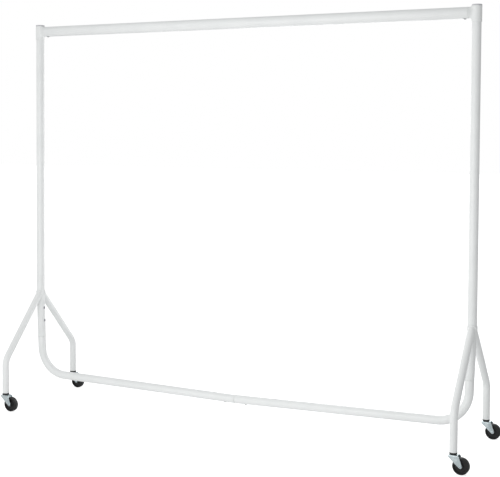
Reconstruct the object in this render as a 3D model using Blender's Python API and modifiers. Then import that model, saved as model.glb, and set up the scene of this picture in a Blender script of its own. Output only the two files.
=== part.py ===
"""Rolling clothes rack: two forked end frames, a hanging rail, a two-piece bottom rail and four swivel casters.

Metres, +Z up, the floor at z = 0. X runs along the hanging rail, and -Y is the front.
"""

import math

import bmesh
import bpy
from mathutils import Matrix, Vector

for old in list(bpy.data.objects):
    bpy.data.objects.remove(old, do_unlink=True)

# ---------------------------------------------------------------- driving dimensions

GAP = 0.0003  # left between pieces that touch on the real rack

HALF_SPAN = 0.900  # the middle to an upright's axis
HALF_DEPTH = 0.230  # the upright's axis to a caster's swivel axis

UPRIGHT_RADIUS = 0.016
LEG_RADIUS = 0.01325
RAIL_RADIUS = 0.020
TUBE_WALL = 0.0015
TUBE_SIDES = 20
BEND_STEPS = 6

SLEEVE_TOP = 1.5350
SLEEVE_BOTTOM = 1.480
SLEEVE_RADIUS = 0.0178
RAIL_HEIGHT = 1.512
RAIL_SETBACK = 0.027  # the upright's axis to the end of the hanging rail
RAIL_SCREW_INSET = 0.013  # the rail's end to its screw
SPIGOT_REACH = 0.085  # the upright's axis to the end of the spigot inside the rail
SHOULDER_RADIUS = 0.0215
CAP_THICKNESS = 0.0047
CAP_ROUNDING = 0.0022
CAP_DEPTH = 0.008

FORK_HEIGHT = 0.447  # where the legs' axes meet the upright's
KNEE_HEIGHT = 0.200
KNEE_RADIUS = 0.060
LEG_END = 0.0704
STUB_BEND_HEIGHT = 0.430  # below it the upright leans in a little
STUB_LEAN = math.radians(1.9)
SEAM_HEIGHT = 0.260  # the upright's lower end, where the bottom rail goes in
STUB_SCREW_HEIGHTS = (0.326, 0.378)

BOTTOM_END_HEIGHT = 0.109  # the bottom rail's axis, carried on to the upright
BOTTOM_MIDDLE_HEIGHT = 0.0945
BOTTOM_BEND_RADIUS = 0.112
SPIGOT_UP = 0.140  # how far the inner sleeve stands up into the stub
SPIGOT_DOWN = 0.038
JOINER_HALF = 0.080
JOINER_SCREW = 0.043  # the middle seam to each of its screws

SCREW_HEAD_RADIUS = 0.0055
SCREW_HEAD_HEIGHT = 0.0030
SCREW_RADIUS = 0.0026
SCREW_LENGTH = 0.011
SCREW_HOLE_RADIUS = 0.0030
HEX_RADIUS = 0.0022
HEX_DEPTH = 0.0016

WHEEL_RADIUS = 0.028
WHEEL_STEPS = 28
CASTER_TRAIL = 0.026
FORK_TOP = 0.0629
FORK_PLATE = 0.0021
FORK_CHEEK = 0.0018
FORK_INNER = 0.0112  # half of the room between the cheeks
AXLE_RADIUS = 0.0030
STEM_RADIUS = 0.0040
TURNED_STEPS = 20
SMALL_STEPS = 12  # screws, axles and drilled holes

# The casters trail to +X, so the middle of the rack is set back to keep the whole centred on the origin.
MIDDLE_X = (SLEEVE_RADIUS - CASTER_TRAIL - WHEEL_RADIUS) / 2

ENDS = {"left": -1, "right": 1}
SIDES = {"front": -1, "rear": 1}

# ---------------------------------------------------------------- collections and materials

parts = bpy.data.collections.new("rolling_clothes_rack")
cutters = bpy.data.collections.new("cutters")
for collection in (parts, cutters):
    bpy.context.scene.collection.children.link(collection)


def paint(name, colour, roughness, metallic=0.0):
    material = bpy.data.materials.new(name)
    material.use_nodes = True
    shader = material.node_tree.nodes["Principled BSDF"]
    shader.inputs["Base Color"].default_value = (*colour, 1.0)
    shader.inputs["Roughness"].default_value = roughness
    shader.inputs["Metallic"].default_value = metallic
    material.diffuse_color = (*colour, 1.0)
    return material


white_coat = paint("white_powder_coat", (0.86, 0.87, 0.87), 0.40)
white_plastic = paint("white_plastic", (0.82, 0.83, 0.83), 0.50)
zinc = paint("zinc_plate", (0.62, 0.63, 0.64), 0.32, 1.0)
black_nylon = paint("black_nylon", (0.020, 0.020, 0.022), 0.45)

# ---------------------------------------------------------------- making shapes


def mesh_object(name, mesh, material, parent=None):
    made = bpy.data.objects.new(name, mesh)
    parts.objects.link(made)
    mesh.materials.clear()
    mesh.materials.append(material)
    mesh.polygons.foreach_set("use_smooth", [True] * len(mesh.polygons))
    made.parent = parent
    return made


def mesh_of_curve(curve):
    """The curve's surface as a mesh, with its loose caps welded on."""
    holder = bpy.data.objects.new("holder", curve)
    parts.objects.link(holder)
    bpy.context.view_layer.update()
    graph = bpy.context.evaluated_depsgraph_get()
    mesh = bpy.data.meshes.new_from_object(holder.evaluated_get(graph))
    bpy.data.objects.remove(holder, do_unlink=True)
    work = bmesh.new()
    work.from_mesh(mesh)
    bmesh.ops.remove_doubles(work, verts=work.verts, dist=1e-6)
    work.to_mesh(mesh)
    work.free()
    return mesh


def rounded_path(corners, radius):
    """The corners' route with every inner corner turned into an arc."""
    corners = [Vector(corner) for corner in corners]
    route = [corners[0]]
    for before, corner, after in zip(corners, corners[1:], corners[2:]):
        into = (corner - before).normalized()
        out = (after - corner).normalized()
        turn = into.angle(out)
        tangent = radius * math.tan(turn / 2)
        start = corner - into * tangent
        centre = start + (out - into * math.cos(turn)).normalized() * radius
        axis = into.cross(out).normalized()
        for step in range(BEND_STEPS + 1):
            spin = Matrix.Rotation(turn * step / BEND_STEPS, 3, axis)
            route.append(centre + spin @ (start - centre))
    route.append(corners[-1])
    return route


def tube(name, route, radius, material=white_coat):
    """A hollow tube with open ends along the route."""
    curve = bpy.data.curves.new(name, "CURVE")
    curve.dimensions = "3D"
    curve.bevel_depth = radius
    curve.bevel_resolution = TUBE_SIDES // 2 - 2
    curve.use_fill_caps = False
    spline = curve.splines.new("POLY")
    spline.points.add(len(route) - 1)
    for point, place in zip(spline.points, route):
        point.co = (*place, 1.0)
    made = mesh_object(name, mesh_of_curve(curve), material)
    wall = made.modifiers.new("wall", "SOLIDIFY")
    wall.thickness = TUBE_WALL
    wall.offset = -1.0
    wall.use_even_offset = True
    return made


def turned(name, profile, steps, material, cyclic=False, parent=None):
    """A solid of revolution about local Z; profile is (radius, z) from its top down."""
    mesh = bpy.data.meshes.new(name)
    corners = [(radius, 0.0, height) for radius, height in profile]
    edges = [(i, i + 1) for i in range(len(corners) - 1)]
    if cyclic:
        edges.append((len(corners) - 1, 0))
    mesh.from_pydata(corners, edges, [])
    made = mesh_object(name, mesh, material, parent)
    screw = made.modifiers.new("turn", "SCREW")
    screw.steps = steps
    screw.render_steps = steps
    screw.use_smooth_shade = True
    screw.use_merge_vertices = True
    screw.merge_threshold = 1e-5
    return made


def cylinder(name, start, end, radius, sides=TUBE_SIDES, end_radius=None):
    """A closed cylinder or cone from start to end, as a hidden helper."""
    start = Vector(start)
    end = Vector(end)
    along = end - start
    work = bmesh.new()
    bmesh.ops.create_cone(
        work,
        cap_ends=True,
        segments=sides,
        radius1=radius,
        radius2=radius if end_radius is None else end_radius,
        depth=along.length,
    )
    return helper(name, work, (start + end) / 2, along)


def block(name, low, high):
    """A closed box between two corners, as a hidden helper."""
    low = Vector(low)
    high = Vector(high)
    work = bmesh.new()
    bmesh.ops.create_cube(work, size=1.0)
    bmesh.ops.scale(work, vec=high - low, verts=work.verts)
    return helper(name, work, (low + high) / 2, Vector((0, 0, 1)))


def helper(name, work, place, along):
    mesh = bpy.data.meshes.new(name)
    work.to_mesh(mesh)
    work.free()
    made = bpy.data.objects.new(name, mesh)
    made.location = place
    made.rotation_euler = along.to_track_quat("Z", "Y").to_euler()
    made.hide_render = True
    made.display_type = "WIRE"
    cutters.objects.link(made)
    return made


def combine(target, tool, operation):
    step = target.modifiers.new(tool.name, "BOOLEAN")
    step.operation = operation
    step.solver = "EXACT"
    step.object = tool


def screw(name, wall_point, outward, through):
    """A socket-head screw seated on a wall, and its clearance hole in each piece of through."""
    wall_point = Vector(wall_point)
    outward = Vector(outward).normalized()
    head = SCREW_HEAD_HEIGHT + GAP
    profile = (
        (0.0, head),
        (SCREW_HEAD_RADIUS * 0.62, head),
        (SCREW_HEAD_RADIUS * 0.90, GAP + SCREW_HEAD_HEIGHT * 0.62),
        (SCREW_HEAD_RADIUS, GAP + SCREW_HEAD_HEIGHT * 0.25),
        (SCREW_HEAD_RADIUS, GAP),
        (SCREW_RADIUS, GAP),
        (SCREW_RADIUS, -SCREW_LENGTH),
        (0.0, -SCREW_LENGTH),
    )
    made = turned(name, profile, SMALL_STEPS, zinc)
    made.location = wall_point
    made.rotation_euler = outward.to_track_quat("Z", "Y").to_euler()
    socket_floor = wall_point + outward * (head - HEX_DEPTH)
    socket_mouth = wall_point + outward * (head + HEX_DEPTH)
    combine(made, cylinder(name + "_hex", socket_floor, socket_mouth, HEX_RADIUS, 6), "DIFFERENCE")
    hole_start = wall_point + outward * 2 * TUBE_WALL
    hole_end = wall_point - outward * 6 * TUBE_WALL
    hole = cylinder(name + "_hole", hole_start, hole_end, SCREW_HOLE_RADIUS, SMALL_STEPS)
    for piece in through:
        combine(piece, hole, "DIFFERENCE")


# ---------------------------------------------------------------- end frames

run_slope = math.atan2(BOTTOM_END_HEIGHT - BOTTOM_MIDDLE_HEIGHT, HALF_SPAN)
uprights = {}


def stub_axis(sign, height):
    """The point on the leaning stub's axis, and on the arm below it, at this height."""
    lean = (STUB_BEND_HEIGHT - height) * math.tan(STUB_LEAN)
    return Vector((MIDDLE_X + sign * (HALF_SPAN - lean), 0.0, height))


for end, sign in ENDS.items():
    upright_x = MIDDLE_X + sign * HALF_SPAN
    top = (upright_x, 0.0, SLEEVE_TOP - CAP_DEPTH - GAP)
    bend = (upright_x, 0.0, STUB_BEND_HEIGHT)
    seam = stub_axis(sign, SEAM_HEIGHT + GAP / 2)
    uprights[end] = tube(f"upright_{end}", [Vector(top), Vector(bend), seam], UPRIGHT_RADIUS)

    for side, depth_sign in SIDES.items():
        foot_y = depth_sign * HALF_DEPTH
        corners = (
            (upright_x, 0.0, FORK_HEIGHT),
            (upright_x, foot_y, KNEE_HEIGHT),
            (upright_x, foot_y, LEG_END),
        )
        leg = tube(f"leg_{side}_{end}", rounded_path(corners, KNEE_RADIUS), LEG_RADIUS)
        cope = cylinder(
            f"cope_{side}_{end}",
            (upright_x, 0.0, KNEE_HEIGHT),
            (upright_x, 0.0, 2 * FORK_HEIGHT),
            UPRIGHT_RADIUS + GAP,
            2 * TUBE_SIDES,
        )
        combine(leg, cope, "DIFFERENCE")

# ---------------------------------------------------------------- hanging rail and its tee fittings

sleeve_profile = (
    (0.0, SLEEVE_TOP),
    (SLEEVE_RADIUS, SLEEVE_TOP),
    (SLEEVE_RADIUS, SLEEVE_BOTTOM),
    (0.0, SLEEVE_BOTTOM),
)
cap_top = SLEEVE_TOP + GAP + CAP_THICKNESS
cap_profile = (
    (0.0, cap_top),
    (SLEEVE_RADIUS - CAP_ROUNDING, cap_top),
    (SLEEVE_RADIUS - 0.3 * CAP_ROUNDING, cap_top - 0.3 * CAP_ROUNDING),
    (SLEEVE_RADIUS, cap_top - CAP_ROUNDING),
    (SLEEVE_RADIUS, SLEEVE_TOP + GAP),
    (UPRIGHT_RADIUS - GAP, SLEEVE_TOP + GAP),
    (UPRIGHT_RADIUS - GAP, SLEEVE_TOP - CAP_DEPTH + GAP),
    (UPRIGHT_RADIUS - TUBE_WALL, SLEEVE_TOP - CAP_DEPTH + GAP),
    (UPRIGHT_RADIUS - 2 * TUBE_WALL, SLEEVE_TOP),
    (0.0, SLEEVE_TOP),
)


def rail_point(sign, distance):
    """The point on the hanging rail's axis this far in from an upright's axis."""
    return Vector((MIDDLE_X + sign * (HALF_SPAN - distance), 0.0, RAIL_HEIGHT))


rail_ends = [rail_point(sign, RAIL_SETBACK) for sign in (-1, 1)]
hanging_rail = tube("hanging_rail", rail_ends, RAIL_RADIUS)

for end, sign in ENDS.items():
    upright_x = MIDDLE_X + sign * HALF_SPAN
    tee = turned(f"tee_sleeve_{end}", sleeve_profile, TUBE_SIDES, white_coat)
    tee.location.x = upright_x
    spigot_radius = RAIL_RADIUS - TUBE_WALL - GAP
    spigot = cylinder(f"spigot_{end}", rail_point(sign, 0.0), rail_point(sign, SPIGOT_REACH), spigot_radius)
    shoulder = cylinder(
        f"shoulder_{end}",
        rail_point(sign, 0.004),
        rail_point(sign, RAIL_SETBACK - GAP),
        SHOULDER_RADIUS,
        end_radius=RAIL_RADIUS - GAP,
    )
    upright_bore = cylinder(
        f"upright_bore_{end}",
        (upright_x, 0.0, SLEEVE_BOTTOM - 0.01),
        (upright_x, 0.0, SLEEVE_TOP + 0.01),
        UPRIGHT_RADIUS + GAP,
    )
    spigot_bore = cylinder(
        f"spigot_bore_{end}",
        rail_point(sign, UPRIGHT_RADIUS + 2 * TUBE_WALL),
        rail_point(sign, SPIGOT_REACH + 0.01),
        spigot_radius - TUBE_WALL,
    )
    combine(tee, spigot, "UNION")
    combine(tee, shoulder, "UNION")
    combine(tee, upright_bore, "DIFFERENCE")
    combine(tee, spigot_bore, "DIFFERENCE")

    cap = turned(f"tee_cap_{end}", cap_profile, TUBE_SIDES, white_plastic)
    cap.location.x = upright_x

    rail_screw_at = rail_point(sign, RAIL_SETBACK + RAIL_SCREW_INSET) - Vector((0.0, 0.0, RAIL_RADIUS))
    screw(f"rail_screw_{end}", rail_screw_at, (0, 0, -1), (hanging_rail, tee))

# ---------------------------------------------------------------- bottom rail

middle = Vector((MIDDLE_X, 0.0, BOTTOM_MIDDLE_HEIGHT))
joiner_route = [
    middle + Vector((sign * JOINER_HALF * math.cos(run_slope), 0.0, JOINER_HALF * math.sin(run_slope)))
    for sign in (-1, 1)
]
inner_radius = UPRIGHT_RADIUS - TUBE_WALL - GAP
joiner = tube("bottom_rail_joiner", [joiner_route[0], middle, joiner_route[1]], inner_radius, zinc)

for end, sign in ENDS.items():
    run_direction = Vector((sign * math.cos(run_slope), 0.0, math.sin(run_slope)))
    arm_top = stub_axis(sign, SEAM_HEIGHT - GAP / 2)
    # The corner is where the sloping run meets the leaning arm.
    lean = math.tan(STUB_LEAN)
    rise = math.tan(run_slope)
    reach = (abs(arm_top.x - middle.x) - (arm_top.z - middle.z) * lean) / (1 - rise * lean)
    corner = middle + Vector((sign * reach, 0.0, rise * reach))
    # The square-cut ends lean towards each other, so they stand back until their top edges clear.
    setback = UPRIGHT_RADIUS * math.tan(run_slope) + GAP / 2
    seam_point = middle + run_direction * setback
    route = rounded_path((seam_point, corner, arm_top), BOTTOM_BEND_RADIUS)
    half = tube(f"bottom_rail_{end}", route, UPRIGHT_RADIUS)

    spigot_top = stub_axis(sign, SEAM_HEIGHT + SPIGOT_UP)
    spigot_foot = stub_axis(sign, SEAM_HEIGHT - SPIGOT_DOWN)
    arm_spigot = tube(f"arm_spigot_{end}", [spigot_top, spigot_foot], inner_radius, zinc)

    inward = Vector((-sign * math.cos(STUB_LEAN), 0.0, math.sin(STUB_LEAN)))
    for level, height in zip(("lower", "upper"), STUB_SCREW_HEIGHTS):
        wall_point = stub_axis(sign, height) + inward * UPRIGHT_RADIUS
        screw(f"stub_screw_{level}_{end}", wall_point, inward, (uprights[end], arm_spigot))

    down = Vector((sign * math.sin(run_slope), 0.0, -math.cos(run_slope)))
    joiner_screw_at = middle + run_direction * JOINER_SCREW + down * UPRIGHT_RADIUS
    screw(f"joiner_screw_{end}", joiner_screw_at, down, (half, joiner))

# ---------------------------------------------------------------- casters

race_top = FORK_TOP + GAP + 0.0010
collar_bottom = race_top + GAP
collar_top = LEG_END - GAP
plug_top = LEG_END + 0.034
plug_radius = LEG_RADIUS - TUBE_WALL - GAP
hub_half = 0.0106
bush_half = FORK_INNER - GAP
bush_radius = AXLE_RADIUS + GAP + 0.0013

insert_profile = (
    (STEM_RADIUS + GAP, plug_top),
    (plug_radius - 0.001, plug_top),
    (plug_radius, plug_top - 0.003),
    (plug_radius, collar_top),
    (LEG_RADIUS, collar_top),
    (LEG_RADIUS, collar_bottom + 0.001),
    (LEG_RADIUS - 0.001, collar_bottom),
    (STEM_RADIUS + GAP, collar_bottom),
)
rivet_top = FORK_TOP - FORK_PLATE - GAP
stem_profile = (
    (0.0, plug_top - 0.004),
    (STEM_RADIUS - 0.001, plug_top - 0.004),
    (STEM_RADIUS, plug_top - 0.005),
    (STEM_RADIUS, race_top),
    (LEG_RADIUS - 0.002, race_top),
    (LEG_RADIUS - 0.002, FORK_TOP + GAP),
    (STEM_RADIUS, FORK_TOP + GAP),
    (STEM_RADIUS, rivet_top),
    (0.0070, rivet_top),
    (0.0058, rivet_top - 0.0018),
    (0.0, rivet_top - 0.0018),
)
cheek_outer = FORK_INNER + FORK_CHEEK
axle_profile = (
    (0.0, cheek_outer + GAP + 0.0022),
    (0.0038, cheek_outer + GAP + 0.0022),
    (0.0054, cheek_outer + GAP + 0.0010),
    (0.0054, cheek_outer + GAP),
    (AXLE_RADIUS, cheek_outer + GAP),
    (AXLE_RADIUS, -cheek_outer - GAP),
    (0.0054, -cheek_outer - GAP),
    (0.0054, -cheek_outer - GAP - 0.0010),
    (0.0038, -cheek_outer - GAP - 0.0022),
    (0.0, -cheek_outer - GAP - 0.0022),
)
bush_profile = (
    (AXLE_RADIUS + GAP, bush_half),
    (bush_radius, bush_half),
    (bush_radius, -bush_half),
    (AXLE_RADIUS + GAP, -bush_half),
)
# The facets touch the floor flat, so the corners of the tread stand a little outside its radius.
to_corner = 1 / math.cos(math.pi / WHEEL_STEPS)
wheel_half_profile = (
    (bush_radius + GAP, hub_half),
    (0.0090, hub_half),
    (0.0096, 0.0046),
    (WHEEL_RADIUS - 0.0068, 0.0046),
    (WHEEL_RADIUS - 0.0056, 0.0088),
    (WHEEL_RADIUS - 0.0020, 0.0094),
    (WHEEL_RADIUS * to_corner, 0.0068),
)
wheel_profile = (*wheel_half_profile, *[(r, -half) for r, half in reversed(wheel_half_profile)])


def fork_outline():
    """The cheek's side view: a wide head under the leg, narrowing to a round boss about the axle."""
    back, back_chin, crown_front, boss = -0.0145, 0.0570, 0.0175, 0.0060
    first, last, steps = math.radians(18), math.radians(-133), 8
    outline = [(back + 0.002, FORK_TOP), (crown_front, FORK_TOP), (crown_front + 0.004, FORK_TOP - 0.004)]
    for step in range(steps + 1):
        angle = first + (last - first) * step / steps
        outline.append((CASTER_TRAIL + boss * math.cos(angle), WHEEL_RADIUS + boss * math.sin(angle)))
    return outline + [(back, back_chin), (back, FORK_TOP - 0.002)]


def fork(name, place, parent):
    """A pressed steel yoke: a top plate with a hole for the stem, and two cheeks with holes for the axle."""
    curve = bpy.data.curves.new(name, "CURVE")
    curve.dimensions = "2D"
    curve.fill_mode = "BOTH"
    curve.extrude = cheek_outer
    outline = fork_outline()
    spline = curve.splines.new("POLY")
    spline.points.add(len(outline) - 1)
    for point, (across, height) in zip(spline.points, outline):
        point.co = (across, height, 0.0, 1.0)
    spline.use_cyclic_u = True
    made = mesh_object(name, mesh_of_curve(curve), zinc, parent)
    made.rotation_euler.x = math.radians(90)
    x, y = place
    channel = block(
        name + "_channel",
        (x - 0.03, y - FORK_INNER, -0.01),
        (x + 0.05, y + FORK_INNER, FORK_TOP - FORK_PLATE),
    )
    stem_hole = cylinder(name + "_stem_hole", (x, y, 0.05), (x, y, 0.07), STEM_RADIUS + GAP, TURNED_STEPS)
    axle_x = x + CASTER_TRAIL
    axle_hole = cylinder(
        name + "_axle_hole",
        (axle_x, y - 0.03, WHEEL_RADIUS),
        (axle_x, y + 0.03, WHEEL_RADIUS),
        AXLE_RADIUS + GAP,
        SMALL_STEPS,
    )
    for cutter in (channel, stem_hole, axle_hole):
        combine(made, cutter, "DIFFERENCE")


def pivot(name, place, parent=None):
    made = bpy.data.objects.new(name, None)
    made.location = place
    made.empty_display_size = 0.03
    made.parent = parent
    parts.objects.link(made)
    return made


def across_rack(made, spin=0.0):
    """Lays a turned piece's axis along Y, after a turn about that axis."""
    made.rotation_mode = "ZYX"
    made.rotation_euler = (math.radians(90), 0.0, spin)


for end, sign in ENDS.items():
    for side, depth_sign in SIDES.items():
        corner_name = f"{side}_{end}"
        x = MIDDLE_X + sign * HALF_SPAN
        y = depth_sign * HALF_DEPTH
        swivel = pivot(f"swivel_axis_{corner_name}", (x, y, 0.0))
        spindle = pivot(f"wheel_axis_{corner_name}", (CASTER_TRAIL, 0.0, WHEEL_RADIUS), swivel)
        insert = turned(f"insert_{corner_name}", insert_profile, TURNED_STEPS, black_nylon, cyclic=True)
        stem = turned(f"stem_{corner_name}", stem_profile, TURNED_STEPS, zinc)
        for fixed in (insert, stem):
            fixed.location = (x, y, 0.0)
        fork(f"fork_{corner_name}", (x, y), swivel)
        axle = turned(f"axle_{corner_name}", axle_profile, SMALL_STEPS, zinc, parent=spindle)
        bush = turned(f"bush_{corner_name}", bush_profile, SMALL_STEPS, zinc, cyclic=True, parent=spindle)
        wheel_name = f"wheel_{corner_name}"
        wheel = turned(wheel_name, wheel_profile, WHEEL_STEPS, black_nylon, cyclic=True, parent=spindle)
        across_rack(axle)
        across_rack(bush)
        across_rack(wheel, math.pi / WHEEL_STEPS)
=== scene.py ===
"""The looks of a knock-down garment rail on casters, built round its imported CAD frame."""

import math

import bmesh
import bpy
from mathutils import Euler, Matrix, Vector
from mathutils.geometry import intersect_line_line


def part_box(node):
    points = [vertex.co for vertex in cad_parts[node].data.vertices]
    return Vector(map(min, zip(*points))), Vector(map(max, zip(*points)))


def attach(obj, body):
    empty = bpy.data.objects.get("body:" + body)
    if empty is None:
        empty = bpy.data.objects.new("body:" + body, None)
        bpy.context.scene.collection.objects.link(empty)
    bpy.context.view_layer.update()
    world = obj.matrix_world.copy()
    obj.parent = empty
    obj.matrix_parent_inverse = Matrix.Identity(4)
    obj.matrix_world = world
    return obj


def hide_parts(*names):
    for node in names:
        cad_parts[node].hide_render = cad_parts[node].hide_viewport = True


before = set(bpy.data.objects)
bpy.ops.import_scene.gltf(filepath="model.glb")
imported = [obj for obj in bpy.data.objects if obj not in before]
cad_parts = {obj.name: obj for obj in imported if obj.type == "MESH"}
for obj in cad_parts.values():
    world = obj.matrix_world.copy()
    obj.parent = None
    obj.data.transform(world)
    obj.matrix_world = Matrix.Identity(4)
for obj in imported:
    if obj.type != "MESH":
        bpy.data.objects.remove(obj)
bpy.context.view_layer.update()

FRAME_BODY = "rack_frame"

# ---------------------------------------------------------------- camera
# Eye height is that of someone standing near the right-hand end, looking along the rail at a slight downward
# tilt, through a long lens that is shifted down to take in the casters.

CAMERA_PLACE = Vector((1.7597, -3.6246, 1.0815))
CAMERA_YAW = math.radians(25.39)
CAMERA_PITCH = math.radians(2.40)
CAMERA_ROLL = math.radians(0.35)

camera = bpy.data.objects.new("camera", bpy.data.cameras.new("camera"))
bpy.context.scene.collection.objects.link(camera)
bpy.context.scene.camera = camera
tilt = Euler((math.radians(90) - CAMERA_PITCH, 0.0, CAMERA_YAW)).to_matrix().to_4x4()
camera.matrix_world = Matrix.Translation(CAMERA_PLACE) @ tilt @ Matrix.Rotation(CAMERA_ROLL, 4, "Z")
camera.data.sensor_width = 36.0
camera.data.lens = 77.36
camera.data.shift_x = -0.0011
camera.data.shift_y = -0.1098

# ---------------------------------------------------------------- studio
# A white paper floor in a white-out room. The room that lights the rack is brightest low on the left, and
# the camera sees plain white in its place. Two soft boxes stand before and behind the middle of the rack, so
# the left of each upright is bright, its right is in shade, and the rails are darker along their tops.

FLOOR_SIZE = 60.0
PAPER_GLOW = 0.66  # seen by the camera only
ROOM_ABOVE = (1.09, 1.10, 1.10, 1.0)
ROOM_BELOW = (0.17, 0.175, 0.18, 1.0)
BRIGHT_SIDE = (-0.49, -0.14, -0.11)
WHITE = (1.0, 1.0, 1.0, 1.0)
PAPER_WHITE = (0.88, 0.88, 0.88, 1.0)
SOFTBOX_SIZE = 1.6
FRONT_POWER = 15.5
BACK_POWER = 16.0

bpy.ops.object.select_all(action="DESELECT")
bpy.ops.mesh.primitive_plane_add(size=FLOOR_SIZE, location=(0.0, 0.0, 0.0))
floor = bpy.context.object
floor.name = "studio_floor"
paper = bpy.data.materials.new("studio_paper")
paper.use_nodes = True
paper_shader = paper.node_tree.nodes["Principled BSDF"]
paper_shader.inputs["Base Color"].default_value = PAPER_WHITE
paper_shader.inputs["Roughness"].default_value = 0.9
paper_shader.inputs["Specular IOR Level"].default_value = 0.0
paper_shader.inputs["Emission Color"].default_value = WHITE
paper_nodes = paper.node_tree
paper_ray = paper_nodes.nodes.new("ShaderNodeLightPath")
paper_glow = paper_nodes.nodes.new("ShaderNodeMath")
paper_glow.operation = "MULTIPLY"
paper_glow.inputs[1].default_value = PAPER_GLOW
paper_nodes.links.new(paper_ray.outputs["Is Camera Ray"], paper_glow.inputs[0])
paper_nodes.links.new(paper_glow.outputs["Value"], paper_shader.inputs["Emission Strength"])
floor.data.materials.append(paper)

world = bpy.data.worlds.new("studio_room")
bpy.context.scene.world = world
world.use_nodes = True
room = world.node_tree
room.nodes.clear()
direction = room.nodes.new("ShaderNodeTexCoord")
facing = room.nodes.new("ShaderNodeVectorMath")
facing.operation = "DOT_PRODUCT"
facing.inputs[1].default_value = BRIGHT_SIDE
shades = room.nodes.new("ShaderNodeMapRange")
shades.inputs["From Min"].default_value = -1.0
shades.inputs["From Max"].default_value = 1.0
tints = room.nodes.new("ShaderNodeMix")
tints.data_type = "RGBA"
tints.inputs[6].default_value = ROOM_BELOW
tints.inputs[7].default_value = ROOM_ABOVE
lit = room.nodes.new("ShaderNodeBackground")
seen = room.nodes.new("ShaderNodeBackground")
seen.inputs["Color"].default_value = WHITE
ray = room.nodes.new("ShaderNodeLightPath")
choice = room.nodes.new("ShaderNodeMixShader")
room_out = room.nodes.new("ShaderNodeOutputWorld")
room.links.new(direction.outputs["Generated"], facing.inputs[0])
room.links.new(facing.outputs["Value"], shades.inputs["Value"])
room.links.new(shades.outputs["Result"], tints.inputs["Factor"])
room.links.new(tints.outputs[2], lit.inputs["Color"])
room.links.new(ray.outputs["Is Camera Ray"], choice.inputs["Fac"])
room.links.new(lit.outputs["Background"], choice.inputs[1])
room.links.new(seen.outputs["Background"], choice.inputs[2])
room.links.new(choice.outputs["Shader"], room_out.inputs["Surface"])


def softbox(name, place, aim, power):
    """A square area light at a place, facing another; the camera does not see it."""
    light = bpy.data.lights.new(name, "AREA")
    light.shape = "SQUARE"
    light.size = SOFTBOX_SIZE
    light.energy = power
    lamp = bpy.data.objects.new(name, light)
    bpy.context.scene.collection.objects.link(lamp)
    lamp.location = place
    lamp.rotation_euler = (Vector(aim) - Vector(place)).to_track_quat("-Z", "Y").to_euler()
    lamp.visible_camera = False


softbox("front_softbox", (-0.1, -2.0, 1.0), (0.0, 0.0, 0.9), FRONT_POWER)
softbox("back_softbox", (0.0, 1.5, 1.0), (0.0, 0.0, 0.9), BACK_POWER)
bpy.context.scene.view_settings.view_transform = "Standard"

# ---------------------------------------------------------------- uprights
# Each is one length of 32 mm steel tube, powder-coated white. Below the fork it is drawn in a little by the
# bottom rail, and its open end takes the rail's arm.

TUBE_SIDES = 64
TUBE_WALL = 0.0015
RIM_ROUND = 0.0007
UPRIGHT_RADIUS = 0.016
STUB_BEND_HEIGHT = 0.430
STUB_LEAN = math.radians(1.9)
STUB_BEND_RADIUS = 0.25
COAT_WHITE = (0.885, 0.895, 0.890)
COAT_GREYER = (0.848, 0.860, 0.856)


def link(tree, source, target):
    """Joins two sockets of a node tree."""
    tree.links.new(source, target)


def texture(tree, kind, scale, **settings):
    """A texture node on Object coordinates, with its scale in features to the metre."""
    coordinates = tree.nodes.new("ShaderNodeTexCoord")
    made = tree.nodes.new(kind)
    made.inputs["Scale"].default_value = scale
    for socket, value in settings.items():
        made.inputs[socket].default_value = value
    link(tree, coordinates.outputs["Object"], made.inputs["Vector"])
    return made


def ramp(tree, source, low, high, low_colour, high_colour):
    """Fades from one colour to another as a value goes from low to high."""
    made = tree.nodes.new("ShaderNodeValToRGB")
    first, last = made.color_ramp.elements
    first.position = low
    last.position = high
    first.color = (*low_colour, 1.0)
    last.color = (*high_colour, 1.0)
    link(tree, source, made.inputs["Fac"])
    return made.outputs["Color"]


def spread(tree, source, low, high):
    """Maps a 0 to 1 value on to low to high."""
    made = tree.nodes.new("ShaderNodeMapRange")
    made.inputs["To Min"].default_value = low
    made.inputs["To Max"].default_value = high
    link(tree, source, made.inputs["Value"])
    return made.outputs["Result"]


def relief(tree, source, depth, strength, below=None):
    """A bump of this depth in metres, on top of another one if given."""
    made = tree.nodes.new("ShaderNodeBump")
    made.inputs["Distance"].default_value = depth
    made.inputs["Strength"].default_value = strength
    link(tree, source, made.inputs["Height"])
    if below:
        link(tree, below, made.inputs["Normal"])
    return made.outputs["Normal"]


def new_finish(name):
    """A new material, with its node tree and its shader."""
    material = bpy.data.materials.new(name)
    material.use_nodes = True
    tree = material.node_tree
    return material, tree, tree.nodes["Principled BSDF"]


# Powder coat: an orange-peel skin, a little uneven in thickness, so in shade and gloss too.
powder_coat, tree, shader = new_finish("powder_coat_white")
cloudy = texture(tree, "ShaderNodeTexNoise", 9.0, Detail=3.0, Roughness=0.6)
coat_colour = ramp(tree, cloudy.outputs["Fac"], 0.35, 0.70, COAT_GREYER, COAT_WHITE)
link(tree, coat_colour, shader.inputs["Base Color"])
link(tree, spread(tree, cloudy.outputs["Fac"], 0.50, 0.34), shader.inputs["Roughness"])
peel = texture(tree, "ShaderNodeTexNoise", 750.0, Detail=1.0, Roughness=0.4)
grit = texture(tree, "ShaderNodeTexNoise", 3200.0, Detail=2.0, Roughness=0.6)
peel_relief = relief(tree, peel.outputs["Fac"], 0.00012, 0.35)
link(tree, relief(tree, grit.outputs["Fac"], 0.00003, 0.30, peel_relief), shader.inputs["Normal"])
shader.inputs["IOR"].default_value = 1.48
shader.inputs["Coat Weight"].default_value = 0.12
shader.inputs["Coat Roughness"].default_value = 0.22


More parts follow.
